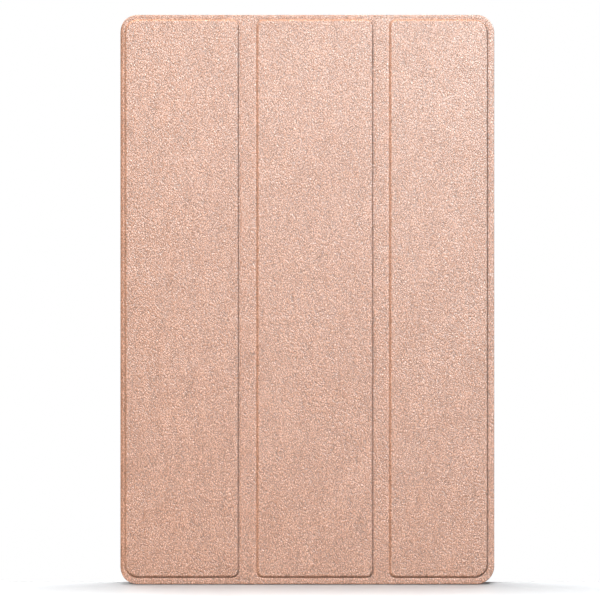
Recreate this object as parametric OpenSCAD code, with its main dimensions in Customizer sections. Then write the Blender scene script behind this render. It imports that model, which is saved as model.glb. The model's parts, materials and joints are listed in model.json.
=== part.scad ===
// Eleven-inch tablet computer closed inside a tri-fold folio case.
// Millimetres. +Z up: the case lies on its back, its cover on top.
// Origin: centre of the footprint, on the resting face.
// +X runs from the spine to the free edge of the cover, +Y to the top short edge.

/* [Tablet] */
// Width of the tablet body, across its short side
tablet_w = 165.0; // [164:0.5:168]
// Height of the tablet body, along its long side
tablet_h = 253.6; // [250:0.4:258]
// Thickness of the tablet body
tablet_t = 6.7; // [6.6:0.1:7.4]
// Corner radius of the tablet body
tablet_r = 8.6; // [7.5:0.1:10]
// Wall thickness of the metal rear housing
housing_wall = 1.2; // [1.0:0.1:1.4]
// Floor thickness of the metal rear housing
housing_floor = 0.8; // [0.6:0.1:0.9]
// Thickness of the cover glass
glass_t = 0.7; // [0.5:0.1:0.8]
// Width of the dark border between the display and the tablet's edge
bezel_w = 7.0; // [6:0.5:9]

/* [Folio case] */
// Thickness of the outer leatherette
leather_t = 0.7; // [0.5:0.1:0.9]
// Thickness of the microfibre lining
lining_t = 0.5; // [0.4:0.1:0.7]
// Thickness of the stiffener boards in the three cover panels
board_t = 1.0; // [0.8:0.1:1.2]
// Thickness of the stiffener board in the spine
spine_board_t = 0.9; // [0.7:0.1:1.1]
// Thickness of the hard tray's base
tray_base = 1.2; // [1.0:0.1:1.5]
// Thickness of the hard tray's walls
tray_wall = 1.3; // [1.1:0.1:1.6]
// Height of the tray's corner lips above the glass
lip_h = 0.7; // [0.5:0.1:1.0]
// Corner radius of the cover and the back
case_r = 8.2; // [7:0.1:10]
// Overhang of the cover past the tray at the top and bottom edges
overhang_y = 1.8; // [1.5:0.1:2.5]
// Overhang of the cover past the tray at the free edge
overhang_x = 0.8; // [0.6:0.1:1.5]

/* [Cover panels] */
// Right edge of the first raised panel, from the spine's outer face
p1_end = 54.1; // [52:0.1:55]
// Left edge of the second raised panel
p2_start = 62.8; // [61:0.1:64]
// Right edge of the second raised panel
p2_end = 115.4; // [113:0.1:116]
// Left edge of the third raised panel
p3_start = 123.4; // [122:0.1:125]
// Flat border right of the third panel
border_right = 3.2; // [2.5:0.1:4]
// Flat border above the panels
border_top = 2.4; // [2:0.1:4]
// Flat border below the panels
border_bottom = 3.4; // [2.5:0.1:4.5]

/* [Buttons and ports] */
// Length of the power button
power_len = 12; // [9:0.5:14]
// Length of the volume rocker
volume_len = 24; // [20:0.5:26]
// How far the buttons stand out of the housing
button_proud = 0.4; // [0.3:0.05:0.6]
// Width of the card tray's face
card_len = 14; // [13:0.5:15]
// Width of each speaker opening in the hard tray
speaker_slot = 22; // [16:1:26]

/* [Hidden] */
$fn = 64;

fit = 0.1;        // tablet to tray, each side
spine_gap = 0.3;  // spine lining to the tray's wall
cover_gap = 0.3;  // tray's lips to the cover's lining
split = 0.1;      // each side of a fold line, between two bodies

case_w = leather_t + spine_board_t + lining_t + spine_gap + 2*tray_wall + 2*fit + tablet_w + overhang_x;
case_h = tablet_h + 2*fit + 2*tray_wall + 2*overhang_y;
xl = -case_w/2;  xr = case_w/2;  yb = -case_h/2;  yt = case_h/2;

// heights
z_tray = leather_t;
z_tab = z_tray + tray_base;
z_glass = z_tab + tablet_t;
z_lip = z_glass + lip_h;
z_lin = z_lip + cover_gap;
z_lea = z_lin + lining_t;
z_flat = z_lea + leather_t;
z_brd = z_lea + board_t;
z_top = z_brd + leather_t;

// plan
tray_x0 = xl + leather_t + spine_board_t + lining_t + spine_gap;
tray_x1 = xr - overhang_x;
tray_y0 = yb + overhang_y;
tray_y1 = yt - overhang_y;
tx0 = tray_x0 + tray_wall + fit;
tx1 = tx0 + tablet_w;
ty0 = -tablet_h/2;
ty1 = tablet_h/2;
fold_1 = xl + (p1_end + p2_start)/2;
fold_2 = xl + (p2_end + p3_start)/2;
straight_y = case_h/2 - case_r;   // the spine joins the cover along this half length

// panel outlines of the raised leather: [x0, y0, x1, y1]
pad_y0 = yb + border_bottom;
pad_y1 = yt - border_top;
pad_1 = [xl + 2.6, pad_y0, xl + p1_end, pad_y1];
pad_2 = [xl + p2_start, pad_y0, xl + p2_end, pad_y1];
pad_3 = [xl + p3_start, pad_y0, xr - border_right, pad_y1];
r_pad_1 = [5.8, 3, 3, 5.8];
r_pad_2 = [2.8, 3, 3, 2.8];
r_pad_3 = [2.8, 6.2, 6.2, 2.8];

// places on the tablet
z_mid = z_tab + 2.9;            // middle height of the buttons
cam = [tx1 - 13.3, 103];        // rear camera
flash = [tx1 - 26.3, 103];
power_y = 92;
volume_y = 68;
card_y = 44;
button_cut = [34, 102];         // opening in the tray's right wall
wake_at = [tx1 - 11.3, 60];
usb_z = z_tab + 2.75;
pcb_z0 = z_tab + 1.3;
pcb_z1 = z_tab + 2.0;
floor_z = z_tab + housing_floor;
plate_z0 = z_tab + 3.8;
plate_z1 = plate_z0 + 0.25;
disp_z1 = z_glass - glass_t;
disp_z0 = disp_z1 - 1.6;
wall_in = tx1 - housing_wall;   // inner face of the housing's right wall

boss_left = [[tx0 + 3.1, -80], [tx0 + 3.1, -20], [tx0 + 3.1, 40], [tx0 + 3.1, 95]];
boss_right = [[tx1 - 13, -95], [tx1 - 13, -25], [-2, 100], [-30, 121], [26, 121], [-29, -120], [29, -120]];
board_boss = [[-26, 38], [50, 38], [-26, 108], [46, 108]];

// ---- helpers ----

// 2D rectangle [x0,y0,x1,y1] with corner radii [bottom left, bottom right, top right, top left]
module rr4(b, r) {
  x0 = b[0]; y0 = b[1]; x1 = b[2]; y1 = b[3];
  polygon([[x0+r[0],y0],[x1-r[1],y0],[x1,y0+r[1]],[x1,y1-r[2]],
           [x1-r[2],y1],[x0+r[3],y1],[x0,y1-r[3]],[x0,y0+r[0]]]);
  translate([x0+r[0], y0+r[0]]) circle(r[0]);
  translate([x1-r[1], y0+r[1]]) circle(r[1]);
  translate([x1-r[2], y1-r[2]]) circle(r[2]);
  translate([x0+r[3], y1-r[3]]) circle(r[3]);
}
module slab(b, r, z0, z1) translate([0,0,z0]) linear_extrude(z1-z0) rr4(b, r);
module block(b, z0, z1) translate([b[0],b[1],z0]) cube([b[2]-b[0], b[3]-b[1], z1-z0]);
module post(p, r, z0, z1) translate([p[0],p[1],z0]) cylinder(r=r, h=z1-z0);
function grow(b, d) = [b[0]-d, b[1]-d, b[2]+d, b[3]+d];
function plus(r, d) = [for (x = r) max(x + d, 0.3)];

// A 2D profile (x outward from the edge line, y up) carried round a rounded rectangle
module rim(b, r) {
  x0 = b[0]; y0 = b[1]; x1 = b[2]; y1 = b[3];
  for (c = [[x1-r,y1-r,0],[x0+r,y1-r,90],[x0+r,y0+r,180],[x1-r,y0+r,270]])
    translate([c[0],c[1],0]) rotate([0,0,c[2]]) rotate_extrude(angle=90) translate([r,0]) children();
  translate([x1, y1-r, 0]) rotate([90,0,0]) linear_extrude(y1-y0-2*r) children();
  translate([x0, y0+r, 0]) rotate([90,0,180]) linear_extrude(y1-y0-2*r) children();
  translate([x0+r, y1, 0]) rotate([90,0,90]) linear_extrude(x1-x0-2*r) children();
  translate([x1-r, y0, 0]) rotate([90,0,-90]) linear_extrude(x1-x0-2*r) children();
}

// Upright slot with round ends, cut along Y through a short wall: centre [x, z], size w by h
module slot_y(x, z, w, h, y0, y1)
  translate([x, y1, z]) rotate([90,0,0]) linear_extrude(y1-y0) {
    square([w-h, h], center=true);
    for (s = [-1,1]) translate([s*(w-h)/2, 0]) circle(h/2);
  }
// The same along X through the long right wall: centre [y, z]
module slot_x(y, z, w, h, x0, x1)
  translate([x0, y, z]) rotate([90,0,90]) linear_extrude(x1-x0) {
    square([w-h, h], center=true);
    for (s = [-1,1]) translate([s*(w-h)/2, 0]) circle(h/2);
  }

// Everything on the cover's side, then on the spine's side, of the mitre at the spine's top edge
module above_top_mitre(d)
  translate([xl, 0, z_flat]) rotate([0,45,0]) translate([-300, -case_h, d]) cube([600, 2*case_h, 300]);
module below_top_mitre(d)
  translate([xl, 0, z_flat]) rotate([0,45,0]) translate([-300, -case_h, -300-d]) cube([600, 2*case_h, 300]);
// The spine's side, then the back's side, of the mitre at the spine's bottom edge
module above_low_mitre(d)
  translate([xl, 0, 0]) rotate([0,-45,0]) translate([-300, -case_h, d]) cube([600, 2*case_h, 300]);
module below_low_mitre(d)
  translate([xl, 0, 0]) rotate([0,-45,0]) translate([-300, -case_h, -300-d]) cube([600, 2*case_h, 300]);

// ---- folio case ----

module leather_colour() color([0.86, 0.69, 0.60]) children();
module lining_colour() color([0.80, 0.66, 0.59]) children();

// Slab of the cover between two fold lines
module cover_plan(x0, x1, z0, z1, d)
  intersection() {
    slab([xl+d, yb+d, xr-d, yt-d], [for (i=[0:3]) case_r-d], z0, z1);
    block([x0, yb-1, x1, yt+1], z0-1, z1+1);
  }

// Leather of one panel: a flat border with a raised field moulded over the board
module panel_leather(x0, x1, pad, r)
  difference() {
    union() {
      cover_plan(x0, x1, z_lea, z_flat, 0);
      slab(pad, r, z_lea, z_top);
    }
    slab(grow(pad, -leather_t), plus(r, -leather_t), z_lea - 1, z_brd);
  }

function bars(x, ys) = [for (y = ys) [x-2, y-7, x+2, y+7]];
bars_1 = bars(xl + 9, [-96, -56, 56, 96]);
bars_3 = bars(xr - 9, [-104, -64, -24, 24, 104]);

module panel_board(pad, r, holes)
  color([0.55, 0.50, 0.45]) difference() {
    slab(grow(pad, -leather_t), plus(r, -leather_t), z_lea, z_brd);
    for (h = holes) block(h, z_lea-1, z_brd+1);
  }

module panel_1_leather() leather_colour()
  intersection() { panel_leather(xl-1, fold_1 - split, pad_1, r_pad_1); above_top_mitre(split); }
module panel_2_leather() leather_colour() panel_leather(fold_1 + split, fold_2 - split, pad_2, r_pad_2);
module panel_3_leather() leather_colour() panel_leather(fold_2 + split, xr+1, pad_3, r_pad_3);
module panel_1_board() panel_board(pad_1, r_pad_1, bars_1);
module panel_2_board() panel_board(pad_2, r_pad_2, []);
module panel_3_board() color([0.55, 0.50, 0.45]) difference() {
  panel_board(pad_3, r_pad_3, bars_3);
  post(wake_at, 4, z_lea-1, z_brd+1);
}
module panel_1_lining() lining_colour()
  intersection() { cover_plan(xl-1, fold_1 - split, z_lin, z_lea, 0.5); above_top_mitre(split); }
module panel_2_lining() lining_colour() cover_plan(fold_1 + split, fold_2 - split, z_lin, z_lea, 0.5);
module panel_3_lining() lining_colour() cover_plan(fold_2 + split, xr+1, z_lin, z_lea, 0.5);
module panel_1_magnets() color([0.75,0.75,0.78]) for (h = bars_1) block(h, z_lea, z_brd);
module panel_3_magnets() color([0.75,0.75,0.78]) for (h = bars_3) block(h, z_lea, z_brd);
module wake_magnet() color([0.75,0.75,0.78]) post(wake_at, 4, z_lea, z_brd);

spine_x1 = xl + leather_t + spine_board_t;
spine_pocket_z = [2.6, z_flat - 2.6];
module spine_leather() leather_colour()
  difference() {
    intersection() {
      block([xl, -straight_y, spine_x1, straight_y], 0, z_flat);
      above_low_mitre(split);
      below_top_mitre(split);
    }
    block([xl + leather_t, -straight_y + 1.8, spine_x1 + 1, straight_y - 1.8], spine_pocket_z[0], spine_pocket_z[1]);
  }
module spine_board() color([0.55, 0.50, 0.45])
  block([xl + leather_t, -straight_y + 1.8, spine_x1, straight_y - 1.8], spine_pocket_z[0], spine_pocket_z[1]);
module spine_lining() lining_colour()
  intersection() {
    block([spine_x1, -straight_y + 0.5, spine_x1 + lining_t, straight_y - 0.5], 0, z_flat);
    above_low_mitre(split);
    below_top_mitre(split);
  }

camera_cut = [flash[0] - 7.5, cam[1] - 8, cam[0] + 8, cam[1] + 8];
module back_leather() leather_colour()
  difference() {
    intersection() {
      slab([xl, yb, xr, yt], [for (i=[0:3]) case_r], 0, leather_t);
      below_low_mitre(split);
    }
    slab(grow(camera_cut, 0.6), [for (i=[0:3]) 8.5], -1, 2);
  }

// Wall profiles of the hard tray; x = 0 is the wall's inner face
module wall_low() polygon([[-1.5, z_tray], [0.5, z_tray], [1.05, z_tray+0.35], [tray_wall, z_tray+1.0],
  [tray_wall, z_glass-1.3], [tray_wall-0.25, z_glass-0.75], [tray_wall-0.6, z_glass-0.6],
  [0.25, z_glass-0.6], [0, z_glass-0.8], [0, z_tab], [-1.5, z_tab]]);
module wall_lip() polygon([[-1.5, z_tray], [0.5, z_tray], [1.05, z_tray+0.35], [tray_wall, z_tray+1.0],
  [tray_wall, z_lip-1.1], [tray_wall-0.2, z_lip-0.45], [tray_wall-0.6, z_lip-0.1], [tray_wall-0.95, z_lip],
  [-0.5, z_lip], [-0.95, z_lip-0.25], [-1.0, z_glass+0.05], [0, z_glass+0.05], [0, z_tab], [-1.5, z_tab]]);
tray_in = [tray_x0 + tray_wall, tray_y0 + tray_wall, tray_x1 - tray_wall, tray_y1 - tray_wall];
tray_r = tablet_r + fit;
module hard_tray() color([0.83, 0.66, 0.58]) difference() {
  union() {
    slab(grow(tray_in, -0.8), [for (i=[0:3]) tray_r-0.8], z_tray, z_tab);
    rim(tray_in, tray_r) wall_low();
    intersection() {
      rim(tray_in, tray_r) wall_lip();
      union() {
        for (x = [tray_x0-1, tray_x1-25]) for (y = [tray_y0-1, tray_y1-25]) block([x, y, x+26, y+26], 0, 20);
        for (x = [tray_x0-1, tray_x1-5]) block([x, -34, x+6, -6], 0, 20);
      }
    }
  }
  slab(camera_cut, [for (i=[0:3]) 8], z_tray-1, z_tab+1);
  // button and card opening, open at the top
  translate([tray_x1-6, 0, 0]) block([0.5+tray_wall, button_cut[0], 10, button_cut[1]], z_tab+0.6, 20);
  // speaker openings, two at each short end
  for (x = [-50, 50]) for (y = [tray_y0-1, tray_y1-3])
    slot_y(x, z_tab+2.9, speaker_slot, 3.2, y, y+4);
  // charging port notch, open at the top
  block([-7, tray_y0-1, 7, tray_y0+tray_wall+0.2], z_tab, 20);
  // microphone hole at the top edge
  translate([0, tray_y1+1, z_tab+2.9]) rotate([90,0,0]) cylinder(r=1.2, h=4);
}

// ---- tablet ----

tab = [tx0, ty0, tx1, ty1];
module housing_wall_profile() polygon([[-1.8, z_tab], [-0.8, z_tab], [-0.25, z_tab+0.2], [0, z_tab+0.8],
  [0, disp_z1-0.05], [-0.12, disp_z1+0.22], [-0.3, disp_z1+0.3], [-0.5, disp_z1+0.3],
  [-0.5, disp_z1-0.1], [-2.6, disp_z1-0.1], [-2.6, disp_z1-0.6], [-housing_wall, disp_z1-1.2],
  [-housing_wall, floor_z], [-1.8, floor_z]]);
module rear_housing() color([0.62, 0.63, 0.65]) difference() {
  union() {
    slab(grow(tab, -1.2), [for (i=[0:3]) tablet_r-1.2], z_tab, floor_z);
    rim(tab, tablet_r) housing_wall_profile();
    for (p = concat(boss_left, boss_right)) post(p, 2, floor_z-0.1, plate_z0);
    for (p = board_boss) post(p, 2.2, floor_z-0.1, pcb_z0);
  }
  for (p = concat(boss_left, boss_right)) post(p, 0.8, floor_z+0.3, plate_z0+1);
  for (p = board_boss) post(p, 0.8, floor_z-0.1, pcb_z0+1);
  post(cam, 5.2, z_tab-1, floor_z+1);
  post(flash, 2.2, z_tab-1, floor_z+1);
  // buttons and card tray
  slot_x(power_y, z_mid, power_len+0.3, 2.7, wall_in-1, tx1+1);
  slot_x(volume_y, z_mid, volume_len+0.4, 2.7, wall_in-1, tx1+1);
  slot_x(card_y, z_mid, card_len+0.3, 1.9, wall_in-1, tx1+1);
  // ejector pin hole beside the card tray
  translate([wall_in-1, card_y-card_len/2-2.2, z_mid]) rotate([0,90,0]) cylinder(r=0.5, h=4);
  // charging port, speaker holes and microphones in the short walls
  slot_y(0, usb_z, 9.1, 3.3, ty0-1, ty0+3);
  for (x = [-50, 50]) for (i = [-4:4]) for (y = [ty0-1, ty1-2])
    translate([x + 2.2*i, y+3, z_mid]) rotate([90,0,0]) cylinder(r=0.7, h=3);
  for (p = [[0, ty1-2], [-16, ty0-1]])
    translate([p[0], p[1]+3, z_mid]) rotate([90,0,0]) cylinder(r=0.5, h=3);
}

module cover_glass() color([0.05, 0.05, 0.06, 0.9])
  slab(grow(tab, -0.6), [for (i=[0:3]) tablet_r-0.6], disp_z1, z_glass);
module display_adhesive() color([0.1, 0.1, 0.1]) difference() {
  slab(grow(tab, -0.7), [for (i=[0:3]) tablet_r-0.7], disp_z1-0.1, disp_z1);
  slab(grow(tab, -2.5), [for (i=[0:3]) tablet_r-2.5], disp_z1-1, disp_z1+1);
}
module display_panel() color([0.03, 0.03, 0.05])
  slab(grow(tab, -bezel_w), [2,2,2,2], disp_z0, disp_z1);
module mid_plate() color([0.7, 0.7, 0.72]) difference() {
  slab(grow(tab, -housing_wall-0.3), [for (i=[0:3]) tablet_r-housing_wall-0.3], plate_z0, plate_z1);
  for (p = concat(boss_left, boss_right)) post(p, 0.95, plate_z0-1, plate_z1+1);
  block([7, 47.5, 33, 51], plate_z0-1, plate_z1+1);            // display cable slot
  block([tx1-8.5, -4, tx1-1, 4], plate_z0-1, plate_z1+1);      // front camera
  block([wall_in-3.2, 33, tx1, 101], plate_z0-1, plate_z1+1);  // keys and card tray
  block([-5.4, ty0, 5.4, ty0+8.6], plate_z0-1, plate_z1+1);    // charging port
  slab([cam[0]-6, cam[1]-6, cam[0]+6, cam[1]+6], [1,1,1,1], plate_z0-1, plate_z1+1);
}
module screw(p, z, shank) { post(p, 1.4, z, z+0.28); post(p, 0.72, z-shank, z+0.1); }
module mid_plate_screws() color([0.5,0.5,0.52]) for (p = concat(boss_left, boss_right)) difference() {
  screw(p, plate_z1, 2.2);
  translate([p[0], p[1], plate_z1+0.16]) linear_extrude(1) { square([1.4,0.3], center=true); square([0.3,1.4], center=true); }
}

cell_l = [tx0 + 5.7, -98, -6, 28];
cell_r = [-4, -98, tx1 - 17, 28];
module cell(b) {
  slab(b, [1.5,1.5,1.5,1.5], floor_z+0.1, floor_z+2.7);
  block([b[0]+6, b[3]-0.5, b[2]-6, b[3]+1.5], floor_z+1.1, floor_z+1.7);
}
module battery_cell_left() color([0.72,0.72,0.74]) cell(cell_l);
module battery_cell_right() color([0.72,0.72,0.74]) cell(cell_r);
module battery_adhesive() color([0.9,0.9,0.92]) for (c = [cell_l, cell_r]) for (x = [c[0]+8, c[2]-22])
  block([x, c[1]+8, x+14, c[3]-8], floor_z, floor_z+0.1);
module battery_board() color([0.1,0.35,0.2]) {
  block([cell_l[0]+4, 29.7, cell_r[2]-4, 33.0], floor_z+0.9, floor_z+1.5);
  for (x = [-50, -14, 20, 48]) block([x, 30.2, x+5, 32.5], floor_z+1.5, floor_z+2.3);
}

module main_board() color([0.08,0.3,0.18]) difference() {
  block([-30, 34, wall_in-2.7, 112], pcb_z0, pcb_z1);
  block([cam[0]-6.5, cam[1]-6.5, tx1, 113], pcb_z0-1, pcb_z1+1);
  post([-2, 100], 2.3, pcb_z0-1, pcb_z1+1);
  for (p = board_boss) post(p, 1.0, pcb_z0-1, pcb_z1+1);
}
module board_screws() color([0.5,0.5,0.52]) for (p = board_boss) difference() {
  union() { post(p, 1.7, pcb_z1, pcb_z1+0.5); post(p, 0.72, floor_z+0.05, pcb_z1+0.1); }
  translate([p[0], p[1], pcb_z1+0.25]) linear_extrude(1) { square([1.6,0.35], center=true); square([0.35,1.6], center=true); }
}
module can(b, h) difference() {
  slab(b, [0.8,0.8,0.8,0.8], pcb_z1, pcb_z1+h);
  slab(grow(b, -0.2), [0.6,0.6,0.6,0.6], pcb_z1-1, pcb_z1+h-0.2);
}
module processor_shield() color([0.78,0.78,0.8]) can([-22, 64, 8, 94], 1.5);
module power_chip_shield() color([0.78,0.78,0.8]) can([14, 72, 40, 96], 1.5);
module memory_chips() color([0.08,0.08,0.09]) {
  block([-13, 72, 0, 86], pcb_z1, pcb_z1+1.0);
  block([18, 76, 29, 87], pcb_z1, pcb_z1+0.9);
  block([44, 84, 55, 92], pcb_z1, pcb_z1+1.1);
}
module board_connectors() color([0.15,0.13,0.12]) {
  block([-12, 36, 2, 39], pcb_z1, pcb_z1+1.5);
  block([8, 53, 32, 56], pcb_z1, pcb_z1+1.2);
  block([-11.5, -111.5, 1.5, -108.5], pcb_z1, pcb_z1+1.5);
}
module hall_sensor() color([0.05,0.05,0.05]) block([wake_at[0]-1.4, wake_at[1]-0.8, wake_at[0]+1.4, wake_at[1]+0.8], pcb_z1, pcb_z1+0.9);
module card_socket() color([0.75,0.75,0.77]) difference() {
  block([wall_in-25.6, card_y-7.6, wall_in-2.8, card_y+7.6], pcb_z1, z_mid+0.87);
  block([wall_in-25.3, card_y-6.6, wall_in, card_y+6.6], z_mid-0.75, z_mid+0.75);
}
module card_tray() color([0.62,0.63,0.65]) difference() {
  union() {
    slot_x(card_y, z_mid, card_len, 1.6, wall_in+0.1, tx1-0.02);
    block([wall_in-24, card_y-6.4, wall_in+0.2, card_y+6.4], z_mid-0.6, z_mid+0.6);
  }
  block([wall_in-22.5, card_y-5.4, wall_in-11.5, card_y+5.4], z_mid-0.2, z_mid+2);
  block([wall_in-21.5, card_y-4.4, wall_in-12.5, card_y+4.4], z_mid-2, z_mid+2);
}

module sub_board() color([0.08,0.3,0.18]) difference() {
  block([-22, ty0+2.8, 22, -106], pcb_z0, pcb_z1);
  block([-4.75, ty0, 4.75, ty0+8.5], pcb_z0-1, pcb_z1+1);
}
module usb_c_receptacle() color([0.78,0.78,0.8]) {
  difference() {
    slot_y(0, usb_z, 8.94, 3.16, ty0+0.2, ty0+7.9);
    slot_y(0, usb_z, 8.34, 2.56, ty0-1, ty0+6.4);
  }
  block([-3.3, ty0+1.4, 3.3, ty0+6.5], usb_z-0.35, usb_z+0.35);
}
module link_flex() color([0.75,0.45,0.15]) block([-11, -111, 1, 38.5], plate_z0-0.16, plate_z0-0.04);
module display_flex() color([0.75,0.45,0.15]) {
  block([9, 49.0, 31, 49.12], pcb_z1+1.2, disp_z0);
  block([9, 49.0, 31, 55.5], pcb_z1+1.2, pcb_z1+1.32);
}
module speaker(b) color([0.1,0.1,0.11]) difference() {
  slab(b, [1,1,1,1], floor_z+0.05, floor_z+2.85);
  slab([b[0]+5, b[1]+3, b[2]-5, b[3]-3], [2,2,2,2], floor_z+2.45, floor_z+4);
}
module speaker_top_left() speaker([-62, 113.5, -38, ty1-1.4]);
module speaker_top_right() speaker([38, 113.5, 62, ty1-1.4]);
module speaker_bottom_left() speaker([-62, ty0+1.4, -38, -113.5]);
module speaker_bottom_right() speaker([38, ty0+1.4, 62, -113.5]);

module rear_camera_module() color([0.12,0.12,0.13]) {
  slab([cam[0]-5.5, cam[1]-5.5, cam[0]+5.5, cam[1]+5.5], [0.8,0.8,0.8,0.8], floor_z+0.05, z_tab+4.2);
  post(cam, 3.6, z_tab+0.2, floor_z+0.06);
}
module rear_camera_ring() color([0.75,0.62,0.55]) difference() {
  union() { post(cam, 6.4, z_tab-0.6, z_tab); post(cam, 5.1, z_tab-0.1, floor_z); }
  post(cam, 4.0, z_tab-2, floor_z+1);
  post(cam, 4.9, z_tab-0.4, z_tab+0.05);
}
module rear_camera_lens() color([0.05,0.06,0.1,0.6]) post(cam, 4.8, z_tab-0.35, z_tab);
module flash_lens() color([0.95,0.9,0.75,0.7]) post(flash, 2.1, z_tab+0.05, floor_z);
module front_camera_module() color([0.1,0.1,0.11]) {
  block([tx1-6.8, -2.7, tx1-2.0, 2.7], z_tab+1.6, disp_z1-1.4);
  post([tx1-4.6, 0], 1.8, disp_z1-1.5, disp_z1-0.15);
}
module microphones() color([0.8,0.72,0.45]) {
  block([-1.9, ty1-4.2, 1.9, ty1-1.3], z_mid-0.9, z_mid+0.9);
  block([-17.9, ty0+1.3, -14.1, ty0+2.7], z_mid-0.9, z_mid+0.9);
}

// A key: a stadium that stands out of the wall and a wider flange behind it, set back from the wall by back
module key(y, len, back) {
  slot_x(y, z_mid, len, 2.4, wall_in-back-0.1, tx1+button_proud-0.15);
  slot_x(y, z_mid, len-0.3, 2.1, wall_in-back-0.1, tx1+button_proud);
  block([wall_in-back-0.6, y-len/2-0.7, wall_in-back, y+len/2+0.7], z_mid-1.6, z_mid+1.6);
}
module power_button() color([0.62,0.63,0.65]) key(power_y, power_len, 0.04);
module volume_rocker() color([0.62,0.63,0.65]) key(volume_y, volume_len, 0.5);
module button_flex() color([0.75,0.45,0.15]) {
  block([wall_in-2.5, volume_y-14, wall_in-2.3, power_y+7], z_mid-1.4, z_mid+1.4);
  for (d = [[power_y, 1.3], [volume_y-8, 0.85], [volume_y+8, 0.85]])
    translate([wall_in-2.35, d[0], z_mid]) rotate([0,90,0]) cylinder(r=1.3, h=d[1]);
}
module antenna_left() color([0.85,0.7,0.3]) block([-75, 116, -64, ty1-2.8], floor_z+2.3, floor_z+2.45);
module antenna_right() color([0.85,0.7,0.3]) block([64.5, 116, 75.5, ty1-2.8], floor_z+2.3, floor_z+2.45);
module frame_magnets() color([0.75,0.75,0.78]) for (y = [-104, -64, -24, 24])
  block([tx1-9, y-7, tx1-5, y+7], floor_z+0.05, floor_z+1.8);

hard_tray();
back_leather();
spine_leather();
spine_board();
spine_lining();
panel_1_leather();
panel_1_board();
panel_1_lining();
panel_1_magnets();
panel_2_leather();
panel_2_board();
panel_2_lining();
panel_3_leather();
panel_3_board();
panel_3_lining();
panel_3_magnets();
wake_magnet();
rear_housing();
cover_glass();
display_adhesive();
display_panel();
mid_plate();
mid_plate_screws();
battery_cell_left();
battery_cell_right();
battery_board();
battery_adhesive();
main_board();
board_screws();
processor_shield();
power_chip_shield();
memory_chips();
board_connectors();
card_socket();
card_tray();
hall_sensor();
sub_board();
usb_c_receptacle();
link_flex();
display_flex();
speaker_top_left();
speaker_top_right();
speaker_bottom_left();
speaker_bottom_right();
rear_camera_module();
rear_camera_ring();
rear_camera_lens();
flash_lens();
front_camera_module();
microphones();
power_button();
volume_rocker();
button_flex();
antenna_left();
antenna_right();
frame_magnets();
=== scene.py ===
import json
import math

import bmesh
import bpy
import numpy as np
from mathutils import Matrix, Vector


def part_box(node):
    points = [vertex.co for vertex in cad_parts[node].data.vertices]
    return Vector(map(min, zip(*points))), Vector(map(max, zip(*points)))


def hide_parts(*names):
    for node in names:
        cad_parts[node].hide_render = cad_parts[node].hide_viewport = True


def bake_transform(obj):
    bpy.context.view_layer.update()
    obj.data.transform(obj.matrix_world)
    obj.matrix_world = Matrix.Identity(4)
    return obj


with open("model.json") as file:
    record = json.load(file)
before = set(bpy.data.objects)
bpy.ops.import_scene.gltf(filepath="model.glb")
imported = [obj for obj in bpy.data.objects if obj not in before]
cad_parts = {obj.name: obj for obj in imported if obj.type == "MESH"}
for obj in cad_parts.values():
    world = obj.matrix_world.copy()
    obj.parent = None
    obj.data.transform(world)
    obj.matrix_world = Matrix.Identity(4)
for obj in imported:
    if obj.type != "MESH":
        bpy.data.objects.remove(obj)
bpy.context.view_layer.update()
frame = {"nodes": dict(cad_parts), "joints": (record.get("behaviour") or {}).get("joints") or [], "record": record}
scene = bpy.context.scene
MM = 0.001


def box_mm(node):
    lo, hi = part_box(node)
    return np.array(lo) * 1000, np.array(hi) * 1000


# ---- sizes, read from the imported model, in millimetres ----
back_lo, back_hi = box_mm("back_leather")
lea2_lo, lea2_hi = box_mm("panel_2_leather")
spine_lo, spine_hi = box_mm("spine_leather")
slin_lo, slin_hi = box_mm("spine_lining")
sboard_lo, sboard_hi = box_mm("spine_board")
lin2_lo, lin2_hi = box_mm("panel_2_lining")
boards = [box_mm(f"panel_{i}_board") for i in (1, 2, 3)]
glass_lo, glass_hi = box_mm("cover_glass")
display_lo, display_hi = box_mm("display_panel")
ring_lo, ring_hi = box_mm("rear_camera_ring")
flash_lo, flash_hi = box_mm("flash_lens")
XL, XR = float(spine_lo[0]), float(back_hi[0])
YH = float(back_hi[1])
T = float(back_hi[2])                   # leatherette thickness
Z_LEA, Z_TOP = float(lea2_lo[2]), float(lea2_hi[2])
Z_BRD = float(boards[1][1][2])
Z_FLAT = Z_LEA + T
PAD_H = Z_TOP - Z_FLAT                  # how far a panel stands up from the border
LIN_T = float(lin2_hi[2] - lin2_lo[2])
RC = 8.2                                # plan radius of the cover's corners
YS = YH - RC                            # half length of the spine strip
ROLL = 2.5                              # radius of the two spine corners
RE = 0.3                                # rounding of the cut edge
joint = {j["name"]: j for j in frame["joints"]}
HX1 = joint["fold_1"]["pos_m"][0] * 1000
HX2 = joint["fold_2"]["pos_m"][0] * 1000


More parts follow.
